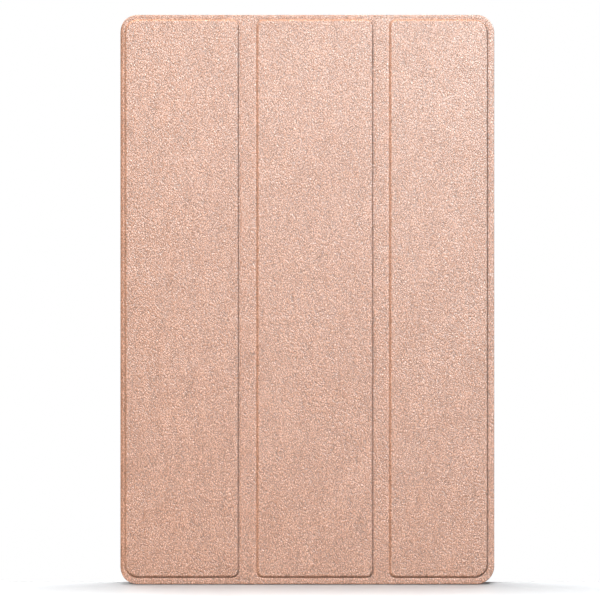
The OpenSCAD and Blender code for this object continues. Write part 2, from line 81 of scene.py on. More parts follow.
# ---- paths across the case: distance along the skin -> place and outward normal ----
class Path:
    """A line of straight runs and arcs in the XZ plane. Each run is ("line", x0, z0, x1, z1, nx, nz) or ("arc", cx, cz, r, a0, a1)."""

    def __init__(self, runs):
        self.runs, self.start = runs, [0.0]
        for r in runs:
            n = math.dist(r[1:3], r[3:5]) if r[0] == "line" else abs(r[5] - r[4]) * r[3]
            self.start.append(self.start[-1] + n)

    def at(self, u):
        u = np.asarray(u, float)
        out = np.zeros(u.shape + (4,))
        k = np.clip(np.searchsorted(self.start, u, side="right") - 1, 0, len(self.runs) - 1)
        for i, r in enumerate(self.runs):
            m = k == i
            d = u[m] - self.start[i]
            n = self.start[i + 1] - self.start[i]
            if r[0] == "line":
                x0, z0, x1, z1, nx, nz = r[1:]
                out[m] = np.stack([x0 + (x1 - x0) * d / n, z0 + (z1 - z0) * d / n, np.full(d.shape, nx), np.full(d.shape, nz)], -1)
            else:
                cx, cz, rad, a0, a1 = r[1:]
                a = a0 + (a1 - a0) * d / n
                out[m] = np.stack([cx + rad * np.cos(a), cz + rad * np.sin(a), np.cos(a), np.sin(a)], -1)
        return out


PI = math.pi
skin = Path([
    ("line", XR, 0, XL + ROLL, 0, 0, -1),
    ("arc", XL + ROLL, ROLL, ROLL, -PI / 2, -PI),
    ("line", XL, ROLL, XL, Z_FLAT - ROLL, -1, 0),
    ("arc", XL + ROLL, Z_FLAT - ROLL, ROLL, PI, PI / 2),
    ("line", XL + ROLL, Z_FLAT, XR, Z_FLAT, 0, 1),
])
U_ROLL0, U_SP0, U_SP1, U_FLAT, U_END = skin.start[1:6]
LX = float(slin_lo[0])                  # outer face of the spine's lining
RL0, RL1 = 0.9, 1.3
LIN_X0 = LX + RL0
lining = Path([
    ("arc", LX + RL0, T + RL0, RL0, -PI / 2, -PI),
    ("line", LX, T + RL0, LX, Z_LEA - RL1, -1, 0),
    ("arc", LX + RL1, Z_LEA - RL1, RL1, PI, PI / 2),
    ("line", LX + RL1, Z_LEA, XR - 0.5, Z_LEA, 0, 1),
])


def smooth(t):
    t = np.clip(t, 0, 1)
    return t * t * (3 - 2 * t)


def rounded_box(u, v, b, r_lo, r_hi):
    """Signed distance to a rounded rectangle b = (u0, v0, u1, v1), with one corner radius at its low-u end and one at its high-u end."""
    cu, cv = (b[0] + b[2]) / 2, (b[1] + b[3]) / 2
    r = np.where(u < cu, r_lo, r_hi)
    qu, qv = np.abs(u - cu) - (b[2] - b[0]) / 2 + r, np.abs(v - cv) - (b[3] - b[1]) / 2 + r
    return np.minimum(np.maximum(qu, qv), 0) + np.hypot(np.maximum(qu, 0), np.maximum(qv, 0)) - r


def u_of_x(x, path=None):
    if path is lining:
        return lining.start[3] + (x - (LX + RL1))
    return U_FLAT + (x - (XL + ROLL))


PAD_R = [(5.1, 2.3), (2.1, 2.3), (2.1, 5.5)]


def pad_boxes(path=None):
    return [(u_of_x(lo[0], path), lo[1], u_of_x(hi[0], path), hi[1]) for lo, hi in boards]


def board_distance(u, v, path=None):
    return np.min([rounded_box(u, v, b, *r) for b, r in zip(pad_boxes(path), PAD_R)], axis=0)


SPINE_BOX = (U_SP0 + sboard_lo[2] - ROLL, sboard_lo[1], U_SP0 + sboard_hi[2] - ROLL, sboard_hi[1])


def skin_out(u, v):
    """Height of the skin's outer face over the path: the panels stand up, and the spine has a shallow groove each side of its board."""
    s = board_distance(u, v)
    h = PAD_H * (1 - smooth(np.clip((s + 0.02) / 1.25, 0, 1) ** 1.3)) - 0.10 * np.exp(-(((s - 1.3) / 0.38) ** 2))
    for g in (U_SP0 + 0.35, U_SP1 - 0.35):
        h = h - 0.16 * np.exp(-(((u - g) / 0.42) ** 2))
    return h


def skin_in(u, v):
    s = board_distance(u, v)
    h = -T + (PAD_H) * (1 - smooth((s - 0.02) / 0.45))
    deep = np.full(np.shape(u), 0.0)
    t0 = np.clip((u - U_ROLL0) / (U_SP0 - U_ROLL0), 0, 1)
    t1 = np.clip((U_FLAT - u) / (U_FLAT - U_SP1), 0, 1)
    deep = np.minimum(t0, t1) ** 2 * (LX - XL - T)
    pocket = rounded_box(u, v, SPINE_BOX, 0.1, 0.1)
    return h - deep * smooth(pocket / 0.35)


def lining_out(u, v):
    return np.zeros(np.shape(u))


def lining_in(u, v):
    s = board_distance(u, v, lining)
    return -LIN_T + 0.16 * np.exp(-(((s - 0.3) / 0.55) ** 2))


# ---- outline: half length of the sheet at each place along it, less the edge rounding ----
def outline(path, u, spine_half, low_half, x_end, r_end):
    x = path.at(u)[..., 0]
    dx = np.clip(x - XL - (0.0 if path is skin else 0.5), 0, RC)
    v = spine_half + np.sqrt(np.maximum(RC**2 - (RC - dx) ** 2, 0))
    if path is lining:
        v = np.minimum(v, spine_half + 2.4 * np.maximum(u - lining.start[2], 0))
        v = np.where(u < lining.start[2], spine_half, v)
    d = x_end - x
    rin = r_end
    near = d < rin
    v = np.where(near, YS + np.sqrt(np.maximum(rin**2 - (rin - np.clip(d, 0, rin)) ** 2, 0)), v)
    return v


def columns(*bands):
    """Sorted places from bands (low, high, step), fine bands first: a coarse band's places are dropped where a finer one is near."""
    kept = []
    for lo, hi, step in sorted(bands, key=lambda b: b[2]):
        n = max(1, int(math.ceil((hi - lo) / step - 1e-6)))
        for c in np.linspace(lo, hi, n + 1):
            if all(abs(c - k) > 0.55 * min(step, s) for k, s in kept):
                kept.append((float(c), step))
    return np.array(sorted(k for k, _ in kept))


def ends_exact(us, lo, hi):
    us = us[(us > lo + 1e-6) & (us < hi - 1e-6)]
    gap = 0.04
    us = us[(us > lo + gap) & (us < hi - gap)]
    return np.concatenate([[lo], us, [hi]])


V_FULL = YH - RE
ROWS = columns((-V_FULL, -124.3, 0.24), (-124.3, -116.6, 0.42), (124.9, V_FULL, 0.24), (116.8, 124.9, 0.42), (-116.6, 116.8, 6.0))
ROWS = np.concatenate([[-V_FULL], ROWS[(ROWS > -V_FULL + 0.1) & (ROWS < V_FULL - 0.1)], [V_FULL]])
V0 = 116.5


def link(ob):
    scene.collection.objects.link(ob)
    return ob


def sheet_piece(name, path, us, half, out, inn, lo_end, hi_end, re, centre_lo=None, centre_hi=None, rows=ROWS, hole=None):
    """A closed sheet: outer grid, inner grid, and a rounded edge round the outline. An end is "cut" (it meets the next piece) or "round"."""
    us = np.asarray(us, float)
    nu, nv = len(us), len(rows)
    V = half(us)
    U = np.repeat(us[:, None], nv, 1)
    full = float(rows[-1])
    r = np.repeat(rows[None, :], nu, 0)
    over = np.abs(r) > V0
    W = np.where(over, np.sign(r) * (V0 + (np.abs(r) - V0) * (V[:, None] - V0) / (full - V0)), r)
    idx = np.arange(nu * nv).reshape(nu, nv)
    loop = [(i, 0) for i in range(nu)] + [(nu - 1, j) for j in range(1, nv)] + [(i, nv - 1) for i in range(nu - 2, -1, -1)] + [(0, j) for j in range(nv - 2, 0, -1)]
    slope = np.gradient(V, us)
    normal = []
    for i, j in loop:
        side_v = -1 if j == 0 else (1 if j == nv - 1 else 0)
        if side_v == 0:
            n = (0.0, 0.0)
            if i == nu - 1 and hi_end == "round":
                n = (1.0, 0.0)
            if i == 0 and lo_end == "round":
                n = (-1.0, 0.0)
        else:
            n = (-slope[i], 1.0)
            if (i == 0 and lo_end == "cut") or (i == nu - 1 and hi_end == "cut"):
                n = (0.0, 1.0)
            k = math.hypot(*n)
            n = (n[0] / k, n[1] / k)
            for c, sgn in ((centre_lo, -1), (centre_hi, 1)):
                if c is not None and (us[i] - c[0]) * sgn > -1e-9:
                    a = (us[i] - c[0], V[i] - c[1])
                    k = math.hypot(*a)
                    n = (a[0] / k, a[1] / k)
            n = (n[0], n[1] * side_v)
        normal.append(n)
    normal = np.array(normal)
    lu = np.array([U[i, j] for i, j in loop])
    lv = np.array([W[i, j] for i, j in loop])
    rings_u, rings_v, rings_h = [], [], []
    ho, hi_ = out(lu, lv), inn(lu, lv)
    steps = [(30, 0), (60, 0), (90, 0), (90, 1), (60, 1), (30, 1)]
    th = ho - hi_
    rr = np.minimum(re, th / 2 - 0.01)
    for deg, low in steps:
        a = math.radians(deg)
        rings_u.append(lu + normal[:, 0] * re * math.sin(a))
        rings_v.append(lv + normal[:, 1] * re * math.sin(a))
        rings_h.append((hi_ + rr * (1 - math.cos(a))) if low else (ho - rr * (1 - math.cos(a))))
    allu = np.concatenate([U.ravel(), U.ravel()] + rings_u)
    allv = np.concatenate([W.ravel(), W.ravel()] + rings_v)
    allh = np.concatenate([out(U, W).ravel(), inn(U, W).ravel()] + rings_h)
    faces, cap = [], []
    top, bot = idx, idx + nu * nv
    skip = np.zeros((nu - 1, nv - 1), bool)
    if hole:
        (cu, cv, hw, hh, hr) = hole["shape"]
        m = 2.4
        mu, mv = (us[:-1] + us[1:]) / 2, (rows[:-1] + rows[1:]) / 2
        skip = (np.abs(mu - cu) < hw + m)[:, None] & (np.abs(mv - cv) < hh + m)[None, :]
    for i in range(nu - 1):
        for j in range(nv - 1):
            if skip[i, j]:
                continue
            faces.append((top[i, j], top[i + 1, j], top[i + 1, j + 1], top[i, j + 1]))
            faces.append((bot[i, j], bot[i, j + 1], bot[i + 1, j + 1], bot[i + 1, j]))
    n_grid = len(faces)
    base = 2 * nu * nv
    L = len(loop)
    order = [np.array([top[i, j] for i, j in loop])] + [base + k * L + np.arange(L) for k in range(len(steps))] + [np.array([bot[i, j] for i, j in loop])]
    for a, b in zip(order[:-1], order[1:]):
        for k in range(L):
            k2 = (k + 1) % L
            faces.append((a[k], b[k], b[k2], a[k2]))
            i1, i2 = loop[k][0], loop[k2][0]
            if (i1 == i2 == 0 and lo_end == "cut") or (i1 == i2 == nu - 1 and hi_end == "cut"):
                cap.append(len(faces) - 1)
    if hole:
        ci = np.where(skip.any(1))[0]
        cj = np.where(skip.any(0))[0]
        i0, i1, j0, j1 = ci[0], ci[-1] + 1, cj[0], cj[-1] + 1
        hl = [(i, j0) for i in range(i0, i1)] + [(i1, j) for j in range(j0, j1)] + [(i, j1) for i in range(i1, i0, -1)] + [(i0, j) for j in range(j1, j0, -1)]
        hu = np.array([us[i] for i, _ in hl])
        hv = np.array([W[i, j] for i, j in hl])
        su = np.clip(hu - cu, -(hw - hr), hw - hr)
        sv = np.clip(hv - cv, -(hh - hr), hh - hr)
        du, dv = hu - cu - su, hv - cv - sv
        dn = np.hypot(du, dv)
        du, dv = du / dn, dv / dn
        more_u, more_v, more_h = [], [], []
        nh = len(hl)
        plan = [(0.9, None)] + [(RE, 0.0)] + [(RE - RE * math.sin(math.radians(d)), d) for d in (30, 60, 90)] + [(RE - RE * math.sin(math.radians(d)), -d) for d in (90, 60, 30)] + [(RE, -0.001)] + [(0.9, "low")]
        for off, how in plan:
            uu, vv = cu + su + du * (hr + off), cv + sv + dv * (hr + off)
            o, n_ = out(uu, vv), inn(uu, vv)
            if how is None or how == 0.0:
                h = o
            elif how == "low" or how == -0.001:
                h = n_
            elif how > 0:
                h = o - RE * (1 - math.cos(math.radians(how)))
            else:
                h = n_ + RE * (1 - math.cos(math.radians(-how)))
            more_u.append(uu); more_v.append(vv); more_h.append(h)
        start = len(allu)
        allu = np.concatenate([allu] + more_u)
        allv = np.concatenate([allv] + more_v)
        allh = np.concatenate([allh] + more_h)
        order = [np.array([top[i, j] for i, j in hl])] + [start + k * nh + np.arange(nh) for k in range(len(plan))] + [np.array([bot[i, j] for i, j in hl])]
        for a, b in zip(order[:-1], order[1:]):
            for k in range(nh):
                k2 = (k + 1) % nh
                faces.append((a[k2], b[k2], b[k], a[k]))
    p = path.at(np.clip(allu, 0, path.start[-1]))
    past = allu - np.clip(allu, 0, path.start[-1])
    x = p[:, 0] + p[:, 2] * allh + past * (1 if path.at(path.start[-1] - 1e-6)[0] > 0 or True else 0) * np.where(allu > path.start[-1], 1.0, -1.0)
    z = p[:, 1] + p[:, 3] * allh
    co = np.stack([x, allv, z], 1) * MM
    used = np.zeros(len(co), bool)
    for f in faces:
        used[list(f)] = True
    remap = np.cumsum(used) - 1
    faces = [tuple(int(remap[v]) for v in f) for f in faces]
    co, uvs = co[used], np.stack([allu, allv], 1)[used] * MM
    me = bpy.data.meshes.new(name)
    me.from_pydata(co.tolist(), [], faces)
    me.update()
    layer = me.uv_layers.new(name="sheet")
    li = np.zeros(len(me.loops), np.int32)
    me.loops.foreach_get("vertex_index", li)
    layer.uv.foreach_set("vector", uvs[li].astype(np.float32).ravel())
    me.polygons.foreach_set("use_smooth", np.ones(len(me.polygons), bool))
    bm = bmesh.new()
    bm.from_mesh(me)
    bm.faces.ensure_lookup_table()
    capset = set(cap)
    for e in bm.edges:
        f = [x.index in capset for x in e.link_faces]
        if len(f) == 2 and f[0] != f[1]:
            e.smooth = False
    vol = bm.calc_volume(signed=True)
    if vol < 0:
        bmesh.ops.reverse_faces(bm, faces=bm.faces)
    bm.to_mesh(me)
    bad = sum(1 for e in bm.edges if len(e.link_faces) != 2)
    bm.free()
    if bad:
        print(f"{name}: {bad} edges aren't shared by two faces")
    return link(bpy.data.objects.new(name, me))


# ---- the leatherette skin, four pieces that each cross one fold ----
def corner_columns(u_end, sign):
    """Columns round the quarter circle at a free edge."""
    rin = RC - RE
    a = np.linspace(0, PI / 2, 17)
    return u_end - sign * RE - sign * rin * (1 - np.sin(a))


def skin_half(u):
    u = np.asarray(u, float)
    dense = skin.at(u)
    x = dense[..., 0]
    rin = RC - RE
    d = XR - RE - x
    return outline(skin, u, YS - RE, 0, XR - RE, rin)


mid_spine = (U_SP0 + U_SP1) / 2
mid_1 = u_of_x(-58.0)
mid_2 = u_of_x(3.4)
pads = pad_boxes()


def edge_bands(e, outward):
    """Fine columns over a panel's slope and the corner inside it."""
    if outward > 0:
        return [(e - 0.35, e + 1.7, 0.21), (e - 6.2, e - 0.35, 0.42)]
    return [(e - 1.7, e + 0.35, 0.21), (e + 0.35, e + 6.2, 0.42)]


def piece_columns(lo, hi, extra, coarse=5.0):
    us = columns(*extra, (lo, hi, coarse))
    return ends_exact(us, lo, hi)


cam_c = ((ring_lo[0] + ring_hi[0]) / 2, (ring_lo[1] + ring_hi[1]) / 2)
flash_c = ((flash_lo[0] + flash_hi[0]) / 2, (flash_lo[1] + flash_hi[1]) / 2)
hole_x0, hole_x1 = flash_c[0] - 7.5 - 0.6, cam_c[0] + 8 + 0.6
hole_cu = XR - (hole_x0 + hole_x1) / 2
hole_cv = cam_c[1]
hole = {"shape": (hole_cu, hole_cv, (hole_x1 - hole_x0) / 2, 8.6, 8.5)}

us_a = piece_columns(
    RE, mid_spine,
    [(U_ROLL0 - 0.6, mid_spine, 0.26), (U_ROLL0 - 6, U_ROLL0 - 0.6, 0.6), (hole_cu - 18, hole_cu + 18, 1.4)],
)
us_a = np.unique(np.concatenate([us_a[us_a > RE + RC], RE + (RC - RE) * (1 - np.sin(np.linspace(0, PI / 2, 17)))]))
rows_a = columns((-V_FULL, -116.6, 0.9), (116.8, V_FULL, 0.9), (-116.6, 116.8, 6.0), (hole_cv - 11.5, hole_cv + 11.5, 1.4))
rows_a = np.concatenate([[-V_FULL], rows_a[(rows_a > -V_FULL + 0.2) & (rows_a < V_FULL - 0.2)], [V_FULL]])
back_skin = sheet_piece("folio_skin_back", skin, us_a, skin_half, skin_out, skin_in, "round", "cut", RE, centre_lo=(RC, YS), rows=rows_a, hole=hole)

us_b = piece_columns(mid_spine, mid_1, [(mid_spine, U_FLAT + 0.4, 0.26), *edge_bands(pads[0][0], -1)])
spine_skin = sheet_piece("folio_skin_spine", skin, us_b, skin_half, skin_out, skin_in, "cut", "cut", RE)

us_c = piece_columns(mid_1, mid_2, [*edge_bands(pads[0][2], 1), (pads[0][2] + 1.7, pads[1][0] - 1.7, 0.3), *edge_bands(pads[1][0], -1)])
fold_1_skin = sheet_piece("folio_skin_fold_1", skin, us_c, skin_half, skin_out, skin_in, "cut", "cut", RE)

us_d = piece_columns(mid_2, U_END - RE, [*edge_bands(pads[1][2], 1), (pads[1][2] + 1.7, pads[2][0] - 1.7, 0.3), *edge_bands(pads[2][0], -1), *edge_bands(pads[2][2], 1)])
us_d = np.unique(np.concatenate([us_d, corner_columns(U_END, 1)]))
us_d = us_d[np.concatenate([[True], np.diff(us_d) > 0.012])]
us_d[-1] = U_END - RE
fold_2_skin = sheet_piece("folio_skin_fold_2", skin, us_d, skin_half, skin_out, skin_in, "cut", "round", RE, centre_hi=(U_END - RC, YS))

# ---- the microfibre lining, four pieces ----
LE = 0.2
LV = YH - 0.5 - LE


def lining_half(u):
    u = np.asarray(u, float)
    return outline(lining, u, YS - 0.5 - LE, 0, XR - 0.5 - LE, RC - 0.5 - LE) - 0.0


lrows = columns((-LV, -116.8, 0.8), (116.8, LV, 0.8), (-116.8, 116.8, 6.0))
lrows = np.concatenate([[-LV], lrows[(lrows > -LV + 0.2) & (lrows < LV - 0.2)], [LV]])
LEND = lining.start[4]
lmid_s = lining.start[1] + (mid_spine - U_SP0 + ROLL) - (T + RL0)
lmid_1, lmid_2 = u_of_x(-58.0, lining), u_of_x(3.4, lining)
lf1, lf2 = u_of_x(HX1, lining), u_of_x(HX2, lining)
lp = pad_boxes(lining)


def lbands(*es):
    return [(e - 2, e + 2, 0.3) for e in es]


lu0 = piece_columns(0.0, lmid_s, [(0, lmid_s, 0.3)])
lining_0 = sheet_piece("folio_lining_spine_low", lining, lu0, lining_half, lining_out, lining_in, "cut", "cut", LE, rows=lrows)
lu1 = piece_columns(lmid_s, lmid_1, [(lmid_s, lining.start[3] + 2.5, 0.25), *lbands(lp[0][0])])
lining_1 = sheet_piece("folio_lining_spine", lining, lu1, lining_half, lining_out, lining_in, "cut", "cut", LE, rows=lrows)
lu2 = piece_columns(lmid_1, lmid_2, [(lf1 - 5, lf1 + 5, 0.3), *lbands(lp[0][2], lp[1][0])])
lining_2 = sheet_piece("folio_lining_fold_1", lining, lu2, lining_half, lining_out, lining_in, "cut", "cut", LE, rows=lrows)
lend = LEND - LE
lu3 = piece_columns(lmid_2, lend, [(lf2 - 5, lf2 + 5, 0.3), *lbands(lp[1][2], lp[2][0], lp[2][2])])
lr = RC - 0.5 - LE
lu3 = np.unique(np.concatenate([lu3[lu3 < lend - lr], lend - lr * (1 - np.sin(np.linspace(0, PI / 2, 13)))]))
lining_3 = sheet_piece("folio_lining_fold_2", lining, lu3, lining_half, lining_out, lining_in, "cut", "round", LE, centre_hi=(lend - lr, YS), rows=lrows)

# ---- each piece is listed with the bodies on either side of the fold it crosses, and stands for its CAD solid, which is hidden ----
def P3(x, y, z):
    return (x * MM, y * MM, z * MM)


BACK, SPINE, C1, C2, C3 = "tablet_and_tray", "spine", "cover_panel_1", "cover_panel_2", "cover_panel_3"
A_LOW, A_TOP = ROLL + 0.2, ROLL + 0.1
corner_low = (P3(XL + A_LOW, 0, 0), P3(XL, 0, A_LOW))
corner_top = (P3(XL, 0, Z_FLAT - A_TOP), P3(XL + A_TOP, 0, Z_FLAT))
# the lining turns only above the tray's lip, so that it opens clear of the tray's wall
inner_top = (P3(-83.3, 0, 9.2), P3(-79.95, 0, 12.55))
band_1 = (P3(HX1 - 3.3, 0, Z_FLAT), P3(HX1 + 3.3, 0, Z_FLAT))
band_2 = (P3(HX2 - 3.1, 0, Z_FLAT), P3(HX2 + 3.1, 0, Z_FLAT))
crossing = [
    (back_skin, BACK, SPINE, corner_low, ("back_leather", "spine_leather")),
    (spine_skin, SPINE, C1, corner_top, ("panel_1_leather",)),
    (fold_1_skin, C1, C2, band_1, ("panel_2_leather",)),
    (fold_2_skin, C2, C3, band_2, ("panel_3_leather",)),
    (lining_0, BACK, SPINE, corner_low, ("spine_lining",)),
    (lining_1, SPINE, C1, inner_top, ("panel_1_lining",)),
    (lining_2, C1, C2, band_1, ("panel_2_lining",)),
    (lining_3, C2, C3, band_2, ("panel_3_lining",)),
]
for piece, a, b, (s, e), stands_for in crossing:
    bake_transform(piece)
    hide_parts(*stands_for)


# ---- materials ----
class Mat:
    """A node material with a Principled shader, and short ways to add and join nodes."""

    def __init__(self, name):
        self.m = bpy.data.materials.new(name)
        self.m.use_nodes = True
        self.t = self.m.node_tree
        self.t.nodes.clear()
        self.out = self.t.nodes.new("ShaderNodeOutputMaterial")
        self.bsdf = self.t.nodes.new("ShaderNodeBsdfPrincipled")
        self.t.links.new(self.bsdf.outputs[0], self.out.inputs[0])

    def node(self, kind, _links=(), **settings):
        n = self.t.nodes.new(kind)
        for k, v in settings.items():
            if hasattr(n, k):
                setattr(n, k, v)
        return n

    def link(self, a, b):
        self.t.links.new(a, b)

    def set(self, **values):
        for k, v in values.items():
            self.bsdf.inputs[k.replace("_", " ")].default_value = v
        return self

    def math(self, op, a, b=None, c=None, clamp=False):
        n = self.node("ShaderNodeMath", operation=op, use_clamp=clamp)
        for i, x in enumerate((a, b, c)):
            if x is None:
                continue
            if hasattr(x, "default_value") or isinstance(x, bpy.types.NodeSocket):
                self.link(x, n.inputs[i])
            else:
                n.inputs[i].default_value = x
        return n.outputs[0]

    def mix(self, fac, a, b):
        n = self.node("ShaderNodeMix", data_type="RGBA")
        for sock, x in ((n.inputs[0], fac), (n.inputs[6], a), (n.inputs[7], b)):
            if isinstance(x, bpy.types.NodeSocket):
                self.link(x, sock)
            else:
                sock.default_value = x
        return n.outputs[2]

    def noise(self, vec, scale, detail=3.0, rough=0.55, distortion=0.0):
        n = self.node("ShaderNodeTexNoise")
        self.link(vec, n.inputs["Vector"])
        n.inputs["Scale"].default_value = scale
        n.inputs["Detail"].default_value = detail
        n.inputs["Roughness"].default_value = rough
        n.inputs["Distortion"].default_value = distortion
        return n.outputs[0]

    def voronoi(self, vec, scale, feature="F1", random=1.0):
        n = self.node("ShaderNodeTexVoronoi", feature=feature)
        self.link(vec, n.inputs["Vector"])
        n.inputs["Scale"].default_value = scale
        n.inputs["Randomness"].default_value = random
        return n.outputs["Distance"]

    def uv(self, name="sheet"):
        return self.node("ShaderNodeUVMap", uv_map=name).outputs[0]

    def place(self):
        return self.node("ShaderNodeTexCoord").outputs["Object"]

    def mapped(self, vec, scale=(1, 1, 1), rot=(0, 0, 0)):
        n = self.node("ShaderNodeMapping")
        self.link(vec, n.inputs[0])
        n.inputs["Rotation"].default_value = rot
        n.inputs["Scale"].default_value = scale
        return n.outputs[0]

    def ramp(self, value, stops):
        n = self.node("ShaderNodeValToRGB")
        self.link(value, n.inputs[0])
        e = n.color_ramp.elements
        while len(e) < len(stops):
            e.new(0.5)
        for k, (p, c) in zip(e, stops):
            k.position = p
            k.color = c
        return n.outputs[0]

    def bump(self, height, distance, strength=1.0, normal=None):
        n = self.node("ShaderNodeBump")
        n.inputs["Strength"].default_value = strength
        n.inputs["Distance"].default_value = distance
        self.link(height, n.inputs["Height"])
        if normal is not None:
            self.link(normal, n.inputs["Normal"])
        return n.outputs[0]


def rgb(r, g, b, a=1.0):
    return (r, g, b, a)


def pad_edge(m, uv):
    """Distance outside the nearest raised panel, in metres on the flat sheet, from the same rounded boxes that shape the skin."""
    at = m.node("ShaderNodeSeparateXYZ")
    m.link(uv, at.inputs[0])
    least = None
    for (u0, v0, u1, v1), (r_lo, r_hi) in zip(pad_boxes(), PAD_R):
        du = m.math("SUBTRACT", at.outputs[0], float(u0 + u1) / 2 * MM)
        dv = m.math("SUBTRACT", at.outputs[1], float(v0 + v1) / 2 * MM)
        r = m.math("MULTIPLY_ADD", m.math("GREATER_THAN", du, 0.0), float(r_hi - r_lo) * MM, float(r_lo) * MM)
        qu = m.math("ADD", m.math("SUBTRACT", m.math("ABSOLUTE", du), float(u1 - u0) / 2 * MM), r)
        qv = m.math("ADD", m.math("SUBTRACT", m.math("ABSOLUTE", dv), float(v1 - v0) / 2 * MM), r)
        ou, ov = m.math("MAXIMUM", qu, 0.0), m.math("MAXIMUM", qv, 0.0)
        out = m.math("SQRT", m.math("ADD", m.math("MULTIPLY", ou, ou), m.math("MULTIPLY", ov, ov)))
        s = m.math("SUBTRACT", m.math("ADD", out, m.math("MINIMUM", m.math("MAXIMUM", qu, qv), 0.0)), r)
        least = s if least is None else m.math("MINIMUM", least, s)
    return least


def leather():
    """Fine pebbled polyurethane leatherette with a pearl finish: pink pebbles, taupe in the creases between them, drawn out slightly on a slant. The pattern is laid out on the flat sheet, so it stays put as the sheet folds."""
    m = Mat("rose_gold_leatherette")
    uv = m.uv()
    drift = m.node("ShaderNodeTexNoise")
    m.link(uv, drift.inputs["Vector"])
    drift.inputs["Scale"].default_value = 34.0
    drift.inputs["Detail"].default_value = 1.0
    bent = m.node("ShaderNodeVectorMath", operation="MULTIPLY_ADD")
    m.link(drift.outputs["Color"], bent.inputs[0])
    bent.inputs[1].default_value = (0.004, 0.004, 0.0)
    m.link(uv, bent.inputs[2])
    slant = m.mapped(bent.outputs[0], scale=(1.0, 0.66, 1.0), rot=(0, 0, math.radians(40)))
    crack = m.math("MULTIPLY", m.math("MINIMUM", m.voronoi(slant, 1280.0, "DISTANCE_TO_EDGE"), 0.24), 4.1667)
    worm = m.noise(slant, 1760.0, 1.5, 0.55, 0.7)
    fine = m.noise(uv, 3600.0, 1.0, 0.5)
    flow = m.noise(m.mapped(bent.outputs[0], scale=(1.0, 0.24, 1.0), rot=(0, 0, math.radians(52))), 300.0, 4.0, 0.65, 0.8)
    h = m.math("MULTIPLY_ADD", crack, 0.42, m.math("MULTIPLY", worm, 1.15))
    h = m.math("MULTIPLY_ADD", fine, 0.30, h)
    h = m.math("MULTIPLY_ADD", flow, 1.10, h)
    m.link(m.bump(h, 0.00025, 1.0), m.bsdf.inputs["Normal"])
    mottle = m.noise(uv, 30.0, 3.0, 0.55)
    grain = m.math("ADD", m.math("MULTIPLY", worm, 0.60), m.math("MULTIPLY", crack, 0.20))
    grain = m.math("MULTIPLY_ADD", flow, 0.20, grain)
    tone = m.ramp(grain, [(0.34, rgb(0.243, 0.102, 0.043)), (0.50, rgb(0.528, 0.222, 0.116)), (0.66, rgb(0.815, 0.418, 0.262))])
    tone = m.mix(m.math("MULTIPLY", mottle, 0.05), tone, rgb(0.592, 0.258, 0.158))
    # painted shade: the crease at the foot of each panel is darkened in colour to stand in for the shade that falls
    # there, and it is also made a little duller
    crease_shade_mask = m.math("SUBTRACT", 1.0, m.math("MULTIPLY", m.math("ABSOLUTE", m.math("SUBTRACT", pad_edge(m, uv), 0.00095)), 1450.0), clamp=True)
    # the dark colour mixed in here is painted shade, not the leather's own colour
    tone = m.mix(m.math("MULTIPLY", crease_shade_mask, 0.30), tone, rgb(0.195, 0.125, 0.085))
    m.link(tone, m.bsdf.inputs["Base Color"])
    m.link(m.math("MULTIPLY_ADD", crease_shade_mask, 0.05, m.math("MULTIPLY_ADD", fine, 0.08, 0.40)), m.bsdf.inputs["Roughness"])
    m.set(Metallic=0.0, Specular_IOR_Level=1.0, Coat_Weight=0.35, Coat_Roughness=0.45)
    return m


def microfibre():
    m = Mat("microfibre")
    uv = m.uv()
    nap = m.noise(uv, 5200.0, 3.0, 0.7)
    brushed = m.noise(m.mapped(uv, scale=(1, 0.3, 1)), 900.0, 3.0, 0.6, 0.4)
    patch = m.noise(uv, 24.0, 4.0, 0.6, 0.8)
    m.link(m.bump(m.math("MULTIPLY_ADD", brushed, 0.6, nap), 0.00007, 0.9), m.bsdf.inputs["Normal"])
    tone = m.mix(patch, rgb(0.430, 0.265, 0.205), rgb(0.530, 0.335, 0.262))
    tone = m.mix(m.math("MULTIPLY", nap, 0.35), tone, rgb(0.66, 0.46, 0.38))
    m.link(tone, m.bsdf.inputs["Base Color"])
    m.set(Roughness=0.92, Specular_IOR_Level=0.15, Sheen_Weight=0.55, Sheen_Roughness=0.45)
    return m


def moulded(name, low, high, rough, grain=2600.0, depth=0.000015, spec=0.5, metal=0.0, mottle=60.0, coat=0.0):
    """Moulded, cast or rolled stuff: a fine surface grain, and a little unevenness of colour and gloss."""
    m = Mat(name)
    at = m.place()
    g = m.noise(at, grain, 2.0, 0.6)
    patch = m.noise(at, mottle, 3.0, 0.6)
    m.link(m.bump(g, depth, 1.0), m.bsdf.inputs["Normal"])
    m.link(m.mix(patch, rgb(*low), rgb(*high)), m.bsdf.inputs["Base Color"])
    m.link(m.math("MULTIPLY_ADD", patch, 0.10, rough - 0.05), m.bsdf.inputs["Roughness"])
    m.set(Metallic=metal, Specular_IOR_Level=spec, Coat_Weight=coat)
    return m


def brushed(name, low, high, rough, along=(1, 12, 1)):
    """Rolled or stamped metal with fine drawn lines."""
    m = Mat(name)
    at = m.place()
    lines = m.noise(m.mapped(at, scale=along), 900.0, 3.0, 0.7)
    patch = m.noise(at, 55.0, 3.0, 0.6)
    m.link(m.bump(lines, 0.000006, 1.0), m.bsdf.inputs["Normal"])
    m.link(m.mix(patch, rgb(*low), rgb(*high)), m.bsdf.inputs["Base Color"])
    m.link(m.math("MULTIPLY_ADD", lines, 0.16, rough - 0.08), m.bsdf.inputs["Roughness"])
    m.set(Metallic=1.0)
    return m


